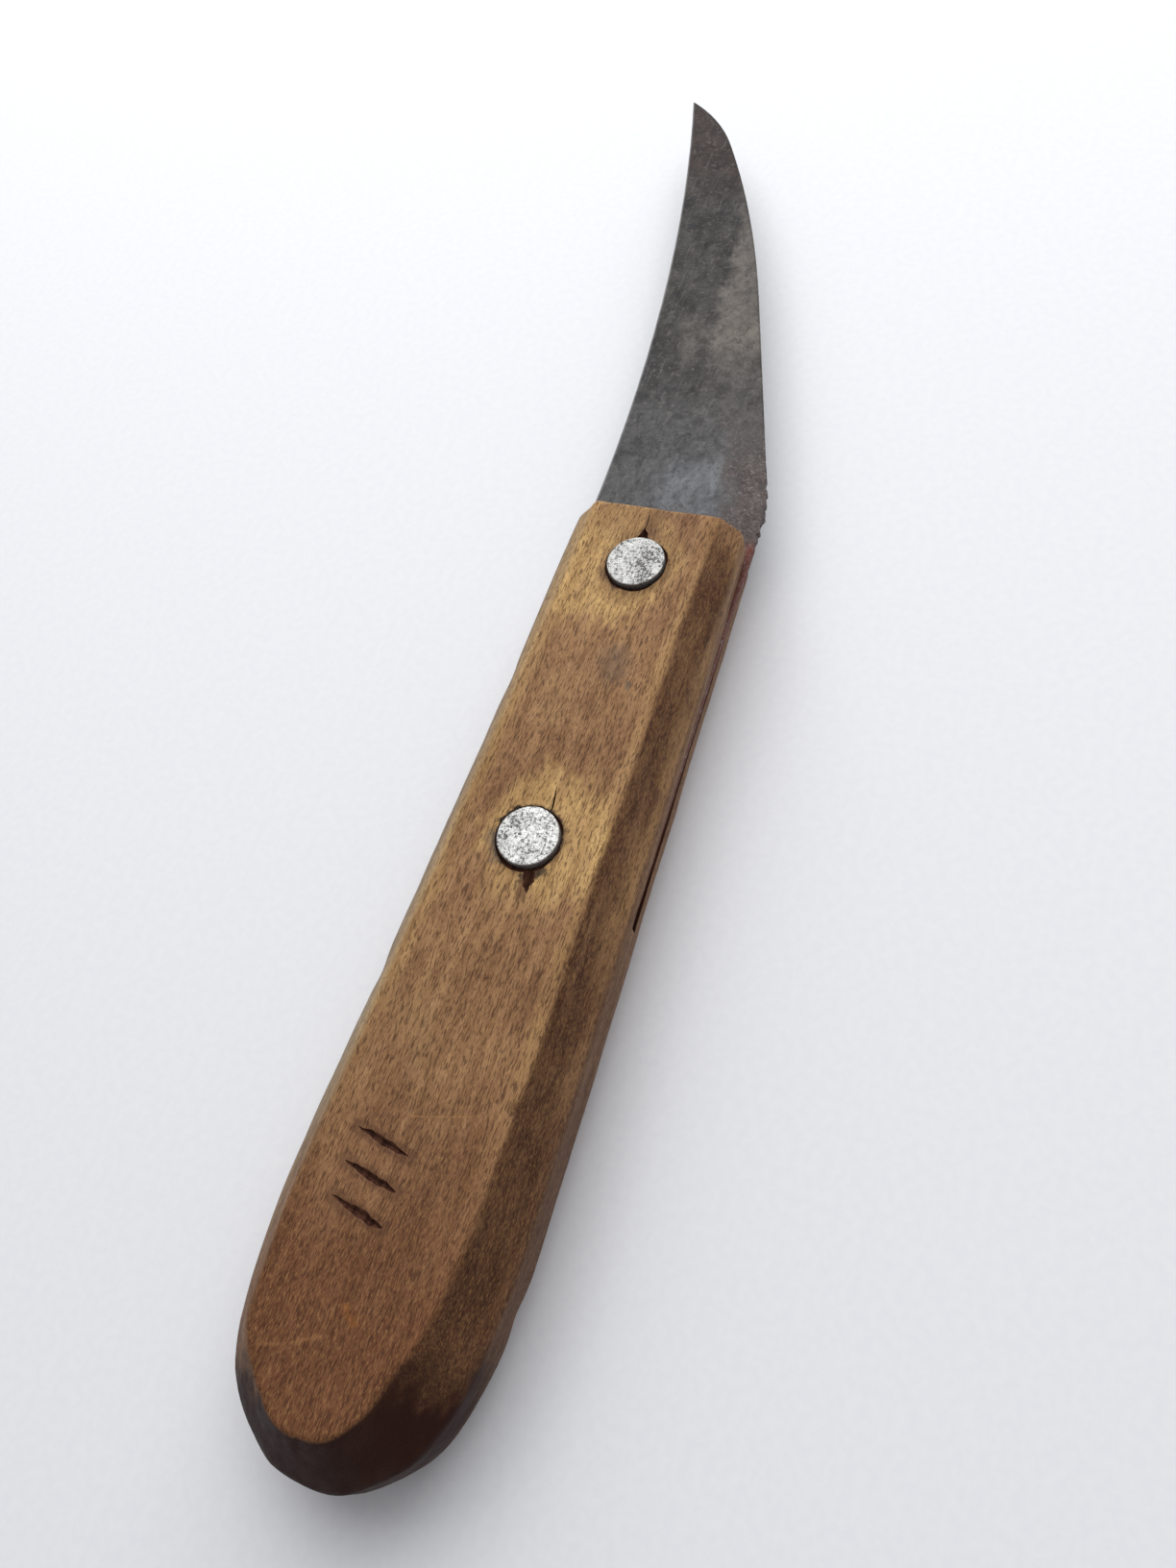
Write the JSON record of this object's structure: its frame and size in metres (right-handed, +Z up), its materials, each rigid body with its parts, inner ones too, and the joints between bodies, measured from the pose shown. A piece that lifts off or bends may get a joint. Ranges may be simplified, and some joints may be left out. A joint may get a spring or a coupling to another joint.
{
  "type": "skiving knife",
  "caption": "Hawk-bladed skiving knife: a thin concave-edged steel blade riveted into a sawn, bevelled one-piece wooden handle.",
  "frame": {"origin": "on the flat underside of the handle, on the line of the rivets and half way along the handle", "axes": "+X along the knife from the butt to the tip, +Y towards the concave cutting edge, +Z up through the handle's thickness to the face with the proud rivet heads"},
  "size_m": [0.1956, 0.0363, 0.0164],
  "materials": {
    "blade_steel": "dull grey patina, rusty at the heel",
    "handle_wood": "worn bare beech, stained dark with use",
    "rivet_metal": "scratched matt"
  },
  "bodies": {
    "root": {"blade": "blade_steel", "handle": "handle_wood", "front_rivet_male": "rivet_metal", "front_rivet_female": "rivet_metal", "rear_rivet_male": "rivet_metal", "rear_rivet_female": "rivet_metal"}
  },
  "joints": []
}
